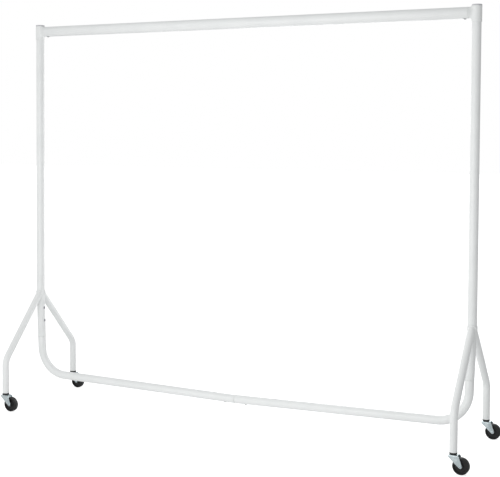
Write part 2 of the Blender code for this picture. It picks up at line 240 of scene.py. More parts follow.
def dress(piece, material, body, slot, *nodes):
    """Gives a finished piece its material and its body, and hides the CAD nodes that it stands for. The slot
    is not used.
    """
    piece.data.materials.clear()
    piece.data.materials.append(material)
    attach(piece, body)
    if nodes:
        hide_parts(*nodes)


def edit(piece, select="SELECT"):
    """Into edit mode on this piece alone, in vertex mode, with all of it selected unless told otherwise."""
    bpy.ops.object.select_all(action="DESELECT")
    piece.select_set(True)
    bpy.context.view_layer.objects.active = piece
    bpy.ops.object.mode_set(mode="EDIT")
    bpy.ops.mesh.select_mode(type="VERT")
    bpy.ops.mesh.select_all(action=select)


def settle(piece):
    """Back to object mode, with the piece's place in its mesh and its object at the origin."""
    if bpy.context.mode != "OBJECT":
        bpy.ops.object.mode_set(mode="OBJECT")
    bpy.ops.object.select_all(action="DESELECT")
    piece.select_set(True)
    bpy.context.view_layer.objects.active = piece
    bpy.ops.object.transform_apply(location=True, rotation=True, scale=True)


def apply_modifier(piece, kind, **settings):
    """Adds a modifier with these settings, and applies it."""
    bpy.context.view_layer.objects.active = piece
    modifier = piece.modifiers.new(kind.lower(), kind)
    for setting, value in settings.items():
        setattr(modifier, setting, value)
    bpy.ops.object.modifier_apply(modifier=modifier.name)


def smooth(piece, angle=30):
    """Smooth shading, with edges sharper than this many degrees left hard."""
    bpy.ops.object.select_all(action="DESELECT")
    piece.select_set(True)
    bpy.context.view_layer.objects.active = piece
    bpy.ops.object.shade_smooth_by_angle(angle=math.radians(angle))


def bent_tube(name, radius, start, heading, runs, wall=TUBE_WALL, sides=TUBE_SIDES):
    """A tube drawn from start along heading; a run is a length, or (angle, bend radius, side to turn to)."""
    place = Vector(start)
    heading = Vector(heading).normalized()
    bpy.ops.object.select_all(action="DESELECT")
    bpy.ops.mesh.primitive_circle_add(
        vertices=sides,
        radius=radius,
        location=place,
        rotation=heading.to_track_quat("Z", "Y").to_euler(),
    )
    piece = bpy.context.object
    piece.name = name
    settle(piece)
    edit(piece)
    for run in runs:
        if isinstance(run, float):
            bpy.ops.mesh.extrude_region_move(TRANSFORM_OT_translate={"value": heading * run})
            place = place + heading * run
            continue
        angle, bend_radius, towards = run
        towards = Vector(towards)
        towards = (towards - heading * towards.dot(heading)).normalized()
        centre = place + towards * bend_radius
        axis = heading.cross(towards)
        steps = max(4, round(math.degrees(angle) / 3))
        bpy.ops.mesh.spin(steps=steps, angle=-angle, center=centre, axis=axis)
        turn = Matrix.Rotation(angle, 3, axis)
        place = centre + turn @ (place - centre)
        heading = turn @ heading
    bpy.ops.mesh.select_all(action="SELECT")
    bpy.ops.mesh.remove_doubles(threshold=1e-6)
    bpy.ops.mesh.normals_make_consistent(inside=False)
    settle(piece)
    apply_modifier(piece, "SOLIDIFY", thickness=wall, offset=-1.0, use_even_offset=True)
    rim_angle = math.radians(60)
    apply_modifier(piece, "BEVEL", width=RIM_ROUND, segments=3, limit_method="ANGLE", angle_limit=rim_angle)
    smooth(piece)
    return piece


ends = {"left": -1, "right": 1}
sides_of_rack = {"front": -1, "rear": 1}
upright_x = {end: (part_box(f"tee_cap_{end}")[0][0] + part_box(f"tee_cap_{end}")[1][0]) / 2 for end in ends}
seam_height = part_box("upright_left")[0][2]
uprights = {}
for end, sign in ends.items():
    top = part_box(f"upright_{end}")[1][2]
    bend_half = STUB_BEND_RADIUS * math.tan(STUB_LEAN / 2)
    stub_length = (STUB_BEND_HEIGHT - seam_height) / math.cos(STUB_LEAN) - bend_half
    upright = bent_tube(
        f"upright_tube_{end}",
        UPRIGHT_RADIUS,
        (upright_x[end], 0.0, top),
        (0, 0, -1),
        (top - STUB_BEND_HEIGHT - bend_half, (STUB_LEAN, STUB_BEND_RADIUS, (-sign, 0, 0)), stub_length),
    )
    dress(upright, powder_coat, FRAME_BODY, "white_powder_coat", f"upright_{end}")
    uprights[end] = upright

# ---------------------------------------------------------------- legs
# Four 26.5 mm tubes, each bent once at the knee, coped to the upright and welded to it in pairs as a fork
# before coating. The caster's plug fills the foot.

LEG_RADIUS = 0.01325
FORK_HEIGHT = 0.447
KNEE_HEIGHT = 0.200
KNEE_RADIUS = 0.060


def cut(piece, tool, operation="DIFFERENCE"):
    """Applies a Boolean of the tool to the piece, and throws the tool away."""
    bpy.context.view_layer.update()
    apply_modifier(piece, "BOOLEAN", operation=operation, solver="EXACT", object=tool)
    bpy.data.objects.remove(tool, do_unlink=True)


def copy_of(piece, name, move):
    """A copy with its own mesh, moved by a matrix."""
    copy = bpy.data.objects.new(name, piece.data.copy())
    bpy.context.scene.collection.objects.link(copy)
    copy.data.transform(move)
    return copy


def cylinder(radius, depth, place, axis=(0, 0, 1), sides=TUBE_SIDES):
    """A cylinder centred on a place, along an axis."""
    bpy.ops.object.select_all(action="DESELECT")
    turn = Vector(axis).to_track_quat("Z", "Y").to_euler()
    bpy.ops.mesh.primitive_cylinder_add(
        radius=radius, depth=depth, location=place, rotation=turn, vertices=sides
    )
    settle(bpy.context.object)
    return bpy.context.object


foot_low, foot_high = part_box("insert_front_left")
foot_y = (foot_low.y + foot_high.y) / 2
leg_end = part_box("leg_front_left")[0][2]
left_x = upright_x["left"]
fork_point = Vector((left_x, 0.0, FORK_HEIGHT))
knee = Vector((left_x, foot_y, KNEE_HEIGHT))
leg_heading = (knee - fork_point).normalized()
knee_angle = leg_heading.angle(Vector((0, 0, -1)))
knee_tangent = KNEE_RADIUS * math.tan(knee_angle / 2)
first_leg = bent_tube(
    "leg_tube",
    LEG_RADIUS,
    fork_point,
    leg_heading,
    (
        (knee - fork_point).length - knee_tangent,
        (knee_angle, KNEE_RADIUS, (0, 0, -1)),
        KNEE_HEIGHT - knee_tangent - leg_end,
    ),
)
cut(first_leg, cylinder(UPRIGHT_RADIUS, 0.3, fork_point, sides=2 * TUBE_SIDES))
smooth(first_leg)


def corner_move(side, end):
    """Carries what is made at the front left to a corner, with half a turn for the rear."""
    turn = Matrix.Rotation(math.pi, 4, "Z") if side == "rear" else Matrix()
    start = Matrix.Translation((-left_x, 0, 0))
    return Matrix.Translation((upright_x[end], 0, 0)) @ turn @ start


for end in ends:
    for side in sides_of_rack:
        leg = copy_of(first_leg, f"leg_tube_{side}_{end}", corner_move(side, end))
        dress(leg, powder_coat, FRAME_BODY, "white_powder_coat", f"leg_{side}_{end}")
bpy.data.objects.remove(first_leg, do_unlink=True)

# ---------------------------------------------------------------- welds
# One fillet weld runs round each leg where it is coped to the upright. The bead has the overlapping ripples
# of a hand-laid weld, softened by the coat.

BEAD_RADIUS = 0.0032
BEAD_RIPPLES = 34
BEAD_STEPS = 10 * BEAD_RIPPLES
BEAD_SIDES = 14
RIPPLE_DEPTH = 0.16

bpy.ops.object.select_all(action="DESELECT")
bpy.ops.mesh.primitive_torus_add(
    major_radius=LEG_RADIUS,
    minor_radius=BEAD_RADIUS,
    major_segments=BEAD_STEPS,
    minor_segments=BEAD_SIDES,
)
first_bead = bpy.context.object
across = Vector((1, 0, 0))
upward = leg_heading.cross(across)
for vertex in first_bead.data.vertices:
    around = math.atan2(vertex.co.y, vertex.co.x)
    outward = across * math.cos(around) + upward * math.sin(around)
    # The saddle: how far down the leg its wall leaves the upright's.
    reach = math.sqrt(UPRIGHT_RADIUS**2 - (LEG_RADIUS * math.cos(around)) ** 2)
    along = (-reach - LEG_RADIUS * outward.y) / leg_heading.y
    phase = around * BEAD_RIPPLES / math.tau % 1.0
    swell = 1.0 + RIPPLE_DEPTH * (math.sin(math.pi * phase) - 0.5) + 0.05 * math.sin(5 * around + 1.0)
    from_ring = math.hypot(vertex.co.x, vertex.co.y) - LEG_RADIUS
    bead_middle = fork_point + leg_heading * along + outward * LEG_RADIUS
    lag = 0.0006 * math.cos(math.pi * phase) * (1.0 - abs(from_ring) / BEAD_RADIUS)
    around_leg = leg_heading.cross(outward)
    vertex.co = bead_middle + (outward * from_ring - leg_heading * vertex.co.z) * swell + around_leg * lag
edit(first_bead)
bpy.ops.mesh.normals_make_consistent(inside=False)
settle(first_bead)
smooth(first_bead, 60)
for end in ends:
    for side in sides_of_rack:
        bead = copy_of(first_bead, f"weld_bead_{side}_{end}", corner_move(side, end))
        dress(bead, powder_coat, FRAME_BODY, "white_powder_coat")
bpy.data.objects.remove(first_bead, do_unlink=True)

# ---------------------------------------------------------------- bottom rail
# Two bent halves of the uprights' 32 mm tube butt at the middle over a hidden joiner, and each turns up to
# butt against an upright over a hidden spigot, so every joint is a hairline between two rounded tube ends.

BOTTOM_END_HEIGHT = 0.109
BOTTOM_MIDDLE_HEIGHT = 0.0945
BOTTOM_BEND_RADIUS = 0.112
JOINT_GAP = 0.0003

half_span = (upright_x["right"] - upright_x["left"]) / 2
middle = Vector(((upright_x["right"] + upright_x["left"]) / 2, 0.0, BOTTOM_MIDDLE_HEIGHT))
run_slope = math.atan2(BOTTOM_END_HEIGHT - BOTTOM_MIDDLE_HEIGHT, half_span)


def stub_axis(sign, height):
    """The point on the leaning stub's axis, and on the arm below it, at this height."""
    lean = (STUB_BEND_HEIGHT - height) * math.tan(STUB_LEAN)
    return Vector((middle.x + sign * (half_span - lean), 0.0, height))


arm_top = stub_axis(-1, seam_height - JOINT_GAP)
arm_heading = Vector((math.sin(STUB_LEAN), 0.0, -math.cos(STUB_LEAN)))
run_heading = Vector((math.cos(run_slope), 0.0, -math.sin(run_slope)))
corner = intersect_line_line(arm_top, arm_top + arm_heading, middle, middle - run_heading)[0]
arm_angle = arm_heading.angle(run_heading)
arm_tangent = BOTTOM_BEND_RADIUS * math.tan(arm_angle / 2)
seam_setback = UPRIGHT_RADIUS * math.tan(run_slope) + JOINT_GAP / 2
left_half = bent_tube(
    "bottom_tube_left",
    UPRIGHT_RADIUS,
    arm_top,
    arm_heading,
    (
        (corner - arm_top).length - arm_tangent,
        (arm_angle, BOTTOM_BEND_RADIUS, run_heading),
        (middle - corner).length - arm_tangent - seam_setback,
    ),
)
about_middle = Matrix.Translation(middle) @ Matrix.Rotation(math.pi, 4, "Z") @ Matrix.Translation(-middle)
right_half = copy_of(left_half, "bottom_tube_right", about_middle)
dress(left_half, powder_coat, FRAME_BODY, "white_powder_coat", "bottom_rail_left")
dress(right_half, powder_coat, FRAME_BODY, "white_powder_coat", "bottom_rail_right")

# ---------------------------------------------------------------- hanging rail
# A straight 40 mm tube, the thickest on the rack, pushed over a spigot at each end.

RAIL_RADIUS = 0.020
RAIL_SIDES = 96

rail_low, rail_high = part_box("hanging_rail")
rail_height = (rail_low.z + rail_high.z) / 2
rail_start = Vector((rail_low.x, 0.0, rail_height))
hanging_tube = bent_tube(
    "hanging_tube", RAIL_RADIUS, rail_start, (1, 0, 0), (rail_high.x - rail_low.x,), sides=RAIL_SIDES
)
dress(hanging_tube, powder_coat, FRAME_BODY, "white_powder_coat", "hanging_rail")

# ---------------------------------------------------------------- tee fittings
# Each is a sleeve over the top of an upright, flared into a collar that meets the end of the hanging rail,
# with a spigot inside it. A groove is rolled round the sleeve above its lower rim. Coated like the tubes.

SLEEVE_RADIUS = 0.0178
FLARE_RADIUS = 0.0262
NECK_HALF_WIDTH = 0.0138
NECK_START = 0.010
RIM_GROOVE = 0.0007
SPIGOT_RADIUS = 0.0181
TEE_VOXEL = 0.0006
TEE_SIDES = 96


def arc(centre, radius, first, last, steps):
    """Points (radius, height) round part of a circle, from one angle to another in degrees."""
    angles = [math.radians(first + (last - first) * step / steps) for step in range(steps + 1)]
    return [(centre[0] + radius * math.cos(a), centre[1] + radius * math.sin(a)) for a in angles]


def lathe(name, profile, sides):
    """A turned piece about the Z axis at the origin; profile is (radius, height) drawn point by point."""
    bpy.ops.object.select_all(action="DESELECT")
    bpy.ops.mesh.primitive_plane_add(size=0.001)
    piece = bpy.context.object
    piece.name = name
    edit(piece)
    bpy.ops.mesh.merge(type="CENTER")
    points = [Vector((radius, 0.0, height)) for radius, height in profile]
    bpy.ops.transform.translate(value=points[0])
    for before, after in zip(points, points[1:]):
        bpy.ops.mesh.extrude_vertices_move(TRANSFORM_OT_translate={"value": after - before})
    bpy.ops.mesh.select_all(action="SELECT")
    bpy.ops.mesh.spin(steps=sides, angle=math.tau, center=(0, 0, 0), axis=(0, 0, 1))
    bpy.ops.mesh.select_all(action="SELECT")
    bpy.ops.mesh.remove_doubles(threshold=2e-6)
    bpy.ops.mesh.normals_make_consistent(inside=False)
    settle(piece)
    smooth(piece)
    return piece


def moved(piece, *moves):
    """Moves the piece's mesh by each matrix in turn."""
    for move in moves:
        piece.data.transform(move)
    return piece


sleeve_low, sleeve_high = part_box("tee_sleeve_left")
sleeve_bottom = sleeve_low.z
sleeve_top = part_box("tee_cap_left")[1][2] - 0.0050
rail_setback = rail_low.x - left_x
spigot_reach = sleeve_high.x - left_x
groove_height = sleeve_bottom + 0.0115
sleeve_profile = [
    (0.0, sleeve_bottom),
    *arc((SLEEVE_RADIUS - 0.0012, sleeve_bottom + 0.0012), 0.0012, -90, 0, 4),
    (SLEEVE_RADIUS, groove_height - 0.0022),
    (SLEEVE_RADIUS - RIM_GROOVE, groove_height - 0.0008),
    (SLEEVE_RADIUS - RIM_GROOVE, groove_height + 0.0008),
    (SLEEVE_RADIUS, groove_height + 0.0022),
    (SLEEVE_RADIUS, sleeve_top),
    (0.0, sleeve_top),
]
flare_reach = rail_setback - 0.0005
flare_rise = FLARE_RADIUS - RAIL_RADIUS
flare_run = flare_rise * 1.35
flare_profile = [
    (0.0, 0.0),
    (FLARE_RADIUS, 0.0),
    (FLARE_RADIUS, flare_reach - 0.0018 - flare_run),
    *[
        (RAIL_RADIUS + flare_rise * (1 - math.sin(a)), flare_reach - 0.0018 - flare_run * math.cos(a))
        for a in [math.radians(18 * step) for step in range(1, 6)]
    ],
    (RAIL_RADIUS, flare_reach),
    (SPIGOT_RADIUS, flare_reach),
    (SPIGOT_RADIUS, spigot_reach - 0.002),
    (SPIGOT_RADIUS - 0.002, spigot_reach),
    (0.0, spigot_reach),
]
along_rail = Matrix.Translation((0, 0, rail_height)) @ Matrix.Rotation(math.radians(90), 4, "Y")
flare = lathe("flare", flare_profile, TEE_SIDES)
for vertex in flare.data.vertices:
    # The collar is pinched at its sides, into a neck narrower than the sleeve.
    from_axis = math.hypot(vertex.co.x, vertex.co.y)
    if from_axis > RAIL_RADIUS - 0.0001 and vertex.co.z < flare_reach:
        part = min(1.0, max(0.0, (vertex.co.z - NECK_START) / (flare_reach - NECK_START)))
        half_width = NECK_HALF_WIDTH + (RAIL_RADIUS - NECK_HALF_WIDTH) * part * part * (3.0 - 2.0 * part)
        vertex.co.y *= half_width / from_axis
first_tee = lathe("tee", sleeve_profile, TEE_SIDES)
cut(first_tee, moved(flare, along_rail), "UNION")
cut(first_tee, cylinder(2 * FLARE_RADIUS, FLARE_RADIUS, (0, 0, sleeve_top + FLARE_RADIUS / 2)))
apply_modifier(first_tee, "REMESH", mode="VOXEL", voxel_size=TEE_VOXEL)
apply_modifier(first_tee, "SMOOTH", factor=0.5, iterations=12)
cut(first_tee, cylinder(UPRIGHT_RADIUS + JOINT_GAP, 0.3, (0, 0, rail_height), sides=TEE_SIDES))
bore_start = SLEEVE_RADIUS + 0.002
spigot_bore = cylinder(
    SPIGOT_RADIUS - TUBE_WALL,
    spigot_reach,
    (bore_start + spigot_reach / 2, 0, rail_height),
    (1, 0, 0),
    TEE_SIDES,
)
cut(first_tee, spigot_bore)
smooth(first_tee, 40)
for end, sign in ends.items():
    turn = Matrix.Rotation(math.pi, 4, "Z") if sign > 0 else Matrix()
    tee = copy_of(first_tee, f"tee_fitting_{end}", Matrix.Translation((upright_x[end], 0, 0)) @ turn)
    dress(tee, powder_coat, FRAME_BODY, "white_powder_coat", f"tee_sleeve_{end}")
bpy.data.objects.remove(first_tee, do_unlink=True)

# ---------------------------------------------------------------- caps
# A push-in plastic cap closes each sleeve: a low dome with a rounded rim and a ribbed skirt inside the tube.
# Moulded in a pale grey, glossier than the coat.

CAP_GREY = (0.56, 0.56, 0.59)
CAP_LIGHT = (0.67, 0.67, 0.69)
CAP_RIM_HEIGHT = 0.0047

cap_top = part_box("tee_cap_left")[1][2]
cap_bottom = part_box("tee_cap_left")[0][2]
rim_bottom = cap_top - CAP_RIM_HEIGHT
skirt_radius = UPRIGHT_RADIUS - TUBE_WALL - JOINT_GAP
skirt_ribs = []
for rib in range(3):
    rib_height = cap_bottom + 0.0012 + 0.0019 * rib
    skirt_ribs += [(skirt_radius - 0.0006, rib_height), (skirt_radius, rib_height + 0.0006)]
    skirt_ribs += [(skirt_radius - 0.0006, rib_height + 0.0014)]
cap_profile = [
    (0.0, rim_bottom + 0.0012),
    (skirt_radius - 0.0020, rim_bottom + 0.0012),
    (skirt_radius - 0.0020, cap_bottom),
    (skirt_radius - 0.0008, cap_bottom),
    *skirt_ribs,
    (skirt_radius - 0.0006, rim_bottom),
    (SLEEVE_RADIUS - 0.0004, rim_bottom),
    (SLEEVE_RADIUS, rim_bottom + 0.0004),
    *arc((SLEEVE_RADIUS - 0.0022, cap_top - 0.0026), 0.0022, 0, 84, 7),
    (SLEEVE_RADIUS * 0.6, cap_top - 0.0001),
    (0.0, cap_top),
]
cap_plastic, tree, shader = new_finish("cap_plastic")
mottle = texture(tree, "ShaderNodeTexNoise", 60.0, Detail=3.0)
link(tree, ramp(tree, mottle.outputs["Fac"], 0.30, 0.72, CAP_GREY, CAP_LIGHT), shader.inputs["Base Color"])
link(tree, spread(tree, mottle.outputs["Fac"], 0.30, 0.46), shader.inputs["Roughness"])
spark = texture(tree, "ShaderNodeTexNoise", 1800.0, Detail=1.0)
link(tree, relief(tree, spark.outputs["Fac"], 0.00002, 0.3), shader.inputs["Normal"])
shader.inputs["IOR"].default_value = 1.49
first_cap = lathe("cap", cap_profile, TEE_SIDES)
for end in ends:
    cap = copy_of(first_cap, f"sleeve_cap_{end}", Matrix.Translation((upright_x[end], 0, 0)))
    dress(cap, cap_plastic, FRAME_BODY, "white_plastic", f"tee_cap_{end}")
bpy.data.objects.remove(first_cap, do_unlink=True)

# ---------------------------------------------------------------- screws
# Button-head socket screws, zinc plated, hold the tees to the hanging rail from below, the uprights to their
# spigots from the inner side, and the two bottom halves to their joiner from underneath.

SCREW_HEAD_RADIUS = 0.0055
SCREW_HEAD_HEIGHT = 0.0018
SCREW_LENGTH = 0.0108
THREAD_RADIUS = 0.0026
THREAD_PITCH = 0.0010
HEX_RADIUS = 0.0022
HEX_DEPTH = 0.0013
STUB_SCREW_HEIGHTS = {"lower": 0.326, "upper": 0.378}
RAIL_SCREW_INSET = 0.013
JOINER_SCREW = 0.043
ZINC_PALE = (0.73, 0.79, 0.80)
ZINC_BLUE = (0.52, 0.60, 0.63)
SCREW_PALE = (0.42, 0.43, 0.45)
SCREW_DARK = (0.30, 0.31, 0.33)


def metal_finish(name, dark, pale, glossy, dull):
    """Zinc plate: faint spangle under a passivation, dulled in streaks by pressing and tumbling."""
    material, tree, shader = new_finish(name)
    spangle = texture(tree, "ShaderNodeTexVoronoi", 420.0, Randomness=1.0)
    haze = texture(tree, "ShaderNodeTexNoise", 55.0, Detail=4.0, Roughness=0.65)
    link(tree, ramp(tree, haze.outputs["Fac"], 0.32, 0.70, dark, pale), shader.inputs["Base Color"])
    link(tree, spread(tree, haze.outputs["Fac"], glossy, dull), shader.inputs["Roughness"])
    spangle_relief = relief(tree, spangle.outputs["Distance"], 0.00002, 0.25)
    scratch = texture(tree, "ShaderNodeTexNoise", 2400.0, Detail=2.0, Roughness=0.7)
    link(tree, relief(tree, scratch.outputs["Fac"], 0.00001, 0.35, spangle_relief), shader.inputs["Normal"])
    shader.inputs["Metallic"].default_value = 1.0
    return material


zinc = metal_finish("zinc_plate", ZINC_BLUE, ZINC_PALE, 0.18, 0.36)
dull_zinc = metal_finish("screw_zinc", SCREW_DARK, SCREW_PALE, 0.34, 0.52)

threads = []
for ridge in range(int(SCREW_LENGTH / THREAD_PITCH) - 1):
    ridge_height = -SCREW_LENGTH + 0.0008 + ridge * THREAD_PITCH
    threads += [(THREAD_RADIUS - 0.0004, ridge_height), (THREAD_RADIUS, ridge_height + 0.5 * THREAD_PITCH)]
screw_profile = [
    (0.0, -SCREW_LENGTH),
    (THREAD_RADIUS - 0.0008, -SCREW_LENGTH),
    *threads,
    (THREAD_RADIUS, JOINT_GAP),
    (SCREW_HEAD_RADIUS - 0.0002, JOINT_GAP),
    (SCREW_HEAD_RADIUS, JOINT_GAP + 0.0003),
    *[
        (SCREW_HEAD_RADIUS * math.cos(a), JOINT_GAP + 0.0003 + (SCREW_HEAD_HEIGHT - 0.0003) * math.sin(a))
        for a in [math.radians(12 * step) for step in range(1, 6)]
    ],
    (SCREW_HEAD_RADIUS * 0.46, JOINT_GAP + SCREW_HEAD_HEIGHT * 0.985),
    (0.0, JOINT_GAP + SCREW_HEAD_HEIGHT * 0.985),
]
first_screw = lathe("screw", screw_profile, 36)
cut(first_screw, cylinder(HEX_RADIUS, 2 * HEX_DEPTH, (0, 0, SCREW_HEAD_HEIGHT + JOINT_GAP), sides=6))
smooth(first_screw, 35)


def place_screw(name, wall_point, outward):
    """A screw seated on a wall at a point, its head facing outward."""
    stand = Matrix.Translation(wall_point) @ Vector(outward).to_track_quat("Z", "Y").to_matrix().to_4x4()
    piece = copy_of(first_screw, f"button_{name}", stand)
    dress(piece, dull_zinc, FRAME_BODY, "zinc_plate", name)


for end, sign in ends.items():
    rail_screw_x = upright_x[end] - sign * (rail_setback + RAIL_SCREW_INSET)
    rail_point = Vector((rail_screw_x, 0.0, rail_height - RAIL_RADIUS))
    place_screw(f"rail_screw_{end}", rail_point, (0, 0, -1))
    inward = Vector((-sign * math.cos(STUB_LEAN), 0.0, math.sin(STUB_LEAN)))
    for level, height in STUB_SCREW_HEIGHTS.items():
        place_screw(f"stub_screw_{level}_{end}", stub_axis(sign, height) + inward * UPRIGHT_RADIUS, inward)
    outward_run = Vector((sign * math.cos(run_slope), 0.0, math.sin(run_slope)))
    downward = Vector((sign * math.sin(run_slope), 0.0, -math.cos(run_slope)))
    joiner_point = middle + outward_run * JOINER_SCREW + downward * UPRIGHT_RADIUS
    place_screw(f"joiner_screw_{end}", joiner_point, downward)
bpy.data.objects.remove(first_screw, do_unlink=True)

# ---------------------------------------------------------------- caster plugs
# A black nylon plug is driven into the foot of each leg, ribbed to grip the tube, with a collar that the
# tube stands on and a bore for the caster's stem.

BLACK = (0.0045, 0.0045, 0.0050)
BLACK_WORN = (0.014, 0.014, 0.0145)
TURNED_SIDES = 64
STEM_RADIUS = 0.0040

plug_low, plug_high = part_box("insert_front_left")
swivel_x = (plug_low.x + plug_high.x) / 2
collar_bottom = plug_low.z
plug_radius = LEG_RADIUS - TUBE_WALL - JOINT_GAP
collar_top = leg_end - JOINT_GAP
grip_ribs = []
for rib in range(5):
    rib_height = collar_top + 0.004 + rib * 0.0052
    grip_ribs += [(plug_radius - 0.0008, rib_height), (plug_radius, rib_height + 0.0006)]
    grip_ribs += [(plug_radius - 0.0008, rib_height + 0.0030)]
plug_profile = [
    (STEM_RADIUS + JOINT_GAP, collar_bottom),
    *arc((LEG_RADIUS - 0.0012, collar_bottom + 0.0012), 0.0012, -90, 0, 5),
    *arc((LEG_RADIUS - 0.0008, collar_top - 0.0008), 0.0008, 0, 90, 4),
    (plug_radius - 0.0008, collar_top),
    *grip_ribs,
    (plug_radius - 0.0008, plug_high.z - 0.003),
    (plug_radius - 0.0030, plug_high.z),
    (STEM_RADIUS + JOINT_GAP, plug_high.z),
    (STEM_RADIUS + JOINT_GAP, collar_bottom),
]


def black_finish(name, rub_scale, dull, glossy):
    """Black moulded plastic, paler and duller where it has been rubbed."""
    material, tree, shader = new_finish(name)
    rub = texture(tree, "ShaderNodeTexNoise", rub_scale, Detail=5.0, Roughness=0.68)
    link(tree, ramp(tree, rub.outputs["Fac"], 0.45, 0.80, BLACK, BLACK_WORN), shader.inputs["Base Color"])
    link(tree, spread(tree, rub.outputs["Fac"], glossy, dull), shader.inputs["Roughness"])
    grain = texture(tree, "ShaderNodeTexNoise", 1500.0, Detail=2.0, Roughness=0.6)
    link(tree, relief(tree, grain.outputs["Fac"], 0.00004, 0.45), shader.inputs["Normal"])
    shader.inputs["IOR"].default_value = 1.50
    return material


black_nylon = black_finish("black_nylon", 90.0, 0.52, 0.36)
swivel = Vector((swivel_x, foot_y, 0.0))
first_plug = moved(lathe("plug", plug_profile, TURNED_SIDES), Matrix.Translation(swivel))
corners = [(side, end) for side in sides_of_rack for end in ends]
swivel_shift = {
    (side, end): Matrix.Translation((upright_x[end] - left_x, foot_y * (-1 - sides_of_rack[side]), 0))
    for side, end in corners
}
for side, end in corners:
    plug = copy_of(first_plug, f"caster_plug_{side}_{end}", swivel_shift[side, end])
    dress(plug, black_nylon, FRAME_BODY, "black_nylon", f"insert_{side}_{end}")
bpy.data.objects.remove(first_plug, do_unlink=True)

# ---------------------------------------------------------------- caster stems
# A zinc-plated steel pin pressed into each plug, with a round race that the fork turns under and a head
# riveted over beneath the crown.

stem_low, stem_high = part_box("stem_front_left")
fork_low, fork_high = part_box("fork_front_left")
fork_top = fork_high.z
race_radius = (stem_high.x - stem_low.x) / 2
race_bottom = fork_top + JOINT_GAP
race_top = collar_bottom - JOINT_GAP
stem_profile = [
    (0.0, stem_low.z),
    (0.0042, stem_low.z),
    *arc((0.0056, stem_low.z + 0.0014), 0.0014, -90, 0, 5),
    (0.0070, stem_low.z + 0.0018),
    (STEM_RADIUS, stem_low.z + 0.0018),
    (STEM_RADIUS, race_bottom),
    (race_radius - 0.0004, race_bottom),
    (race_radius, race_bottom + 0.0004),
    (race_radius - 0.0006, race_top),
    (STEM_RADIUS, race_top),
    (STEM_RADIUS, stem_high.z - 0.001),
    (STEM_RADIUS - 0.001, stem_high.z),
    (0.0, stem_high.z),
]
first_stem = moved(lathe("stem", stem_profile, TURNED_SIDES), Matrix.Translation(swivel))
for side, end in corners:
    stem = copy_of(first_stem, f"swivel_pin_{side}_{end}", swivel_shift[side, end])
    dress(stem, zinc, FRAME_BODY, "zinc_plate", f"stem_{side}_{end}")
bpy.data.objects.remove(first_stem, do_unlink=True)

# ---------------------------------------------------------------- caster forks
# One blank of 2 mm steel, folded into a crown and two cheeks that taper to a round eye at the axle, zinc
# plated. The crown stops short over the wheel, so the cheeks' shoulders stand proud of it.

CHEEK = 0.0018
CROWN = 0.0021
CASTER_TRAIL = 0.026
AXLE_RADIUS = 0.0030
EYE_RADIUS = 0.0060
CROWN_FRONT = 0.0175
SHOULDER_REACH = 0.0215
SHOULDER_DROP = 0.0040
BACK_DEPTH = 0.0059
BACK_RADIUS = 0.0026
FOLD_RADIUS = 0.0024
RELIEF_RADIUS = 0.0035

cheek_outer = (fork_high.y - fork_low.y) / 2
cheek_inner = cheek_outer - CHEEK
fork_back = fork_low.x - swivel_x
axle_height = (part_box("axle_front_left")[0][2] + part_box("axle_front_left")[1][2]) / 2


def box(low, high):
    """A box between two corners, still in edit mode."""
    low = Vector(low)
    high = Vector(high)
    bpy.ops.object.select_all(action="DESELECT")
    bpy.ops.mesh.primitive_cube_add(size=1.0, location=(low + high) / 2, scale=high - low)
    piece = bpy.context.object
    settle(piece)
    edit(piece)
    return piece


def pick_edges(piece, wanted):
    """Selects the edges whose two ends both pass the test, in edit mode."""
    bpy.ops.mesh.select_all(action="DESELECT")
    bpy.ops.mesh.select_mode(type="EDGE")
    mesh = bmesh.from_edit_mesh(piece.data)
    for edge in mesh.edges:
        edge.select_set(all(wanted(vertex.co) for vertex in edge.verts))
    bmesh.update_edit_mesh(piece.data)


first_fork = cylinder(EYE_RADIUS, 2 * cheek_outer, (CASTER_TRAIL, 0, axle_height), (0, 1, 0), TURNED_SIDES)
head_low = (fork_back, -cheek_outer, fork_top - BACK_DEPTH)
crown_corner = (CROWN_FRONT, cheek_outer, fork_top)
shoulder_corner = (SHOULDER_REACH, cheek_outer, fork_top - SHOULDER_DROP)
for head_high in (crown_corner, shoulder_corner):
    head = box(head_low, head_high)
    settle(head)
    first_fork.select_set(True)
    bpy.context.view_layer.objects.active = first_fork
    bpy.ops.object.join()
edit(first_fork)
bpy.ops.mesh.convex_hull(join_triangles=True)
bpy.ops.mesh.dissolve_limited(angle_limit=math.radians(0.5))
back_bottom = fork_top - BACK_DEPTH
pick_edges(first_fork, lambda place: place.x < fork_back + 0.0001 and place.z < back_bottom + 0.0001)
bpy.ops.mesh.bevel(offset=BACK_RADIUS, segments=6)
pick_edges(first_fork, lambda place: place.z > fork_top - 0.0001 and place.y > cheek_outer - 0.0001)
bpy.ops.mesh.bevel(offset=FOLD_RADIUS, segments=6)
pick_edges(first_fork, lambda place: place.z > fork_top - 0.0001 and place.y < 0.0001 - cheek_outer)
bpy.ops.mesh.bevel(offset=FOLD_RADIUS, segments=6)
settle(first_fork)
channel = box((-0.05, -cheek_inner, -0.05), (0.08, cheek_inner, fork_top - CROWN))
pick_edges(channel, lambda place: place.z > 0 and place.y > 0)
bpy.ops.mesh.bevel(offset=FOLD_RADIUS - CHEEK + 0.0004, segments=4)
pick_edges(channel, lambda place: place.z > 0 and place.y < 0 and place.z > fork_top - CROWN - 0.0001)
bpy.ops.mesh.bevel(offset=FOLD_RADIUS - CHEEK + 0.0004, segments=4)
settle(channel)
cut(first_fork, channel)
front_relief = box((CROWN_FRONT - 0.0015, -cheek_inner, 0.03), (0.08, cheek_inner, 0.08))
pick_edges(front_relief, lambda place: place.x < CROWN_FRONT and place.y > 0)
bpy.ops.mesh.bevel(offset=RELIEF_RADIUS, segments=6)
pick_edges(front_relief, lambda place: place.x < CROWN_FRONT - 0.0014 and place.y < 0)
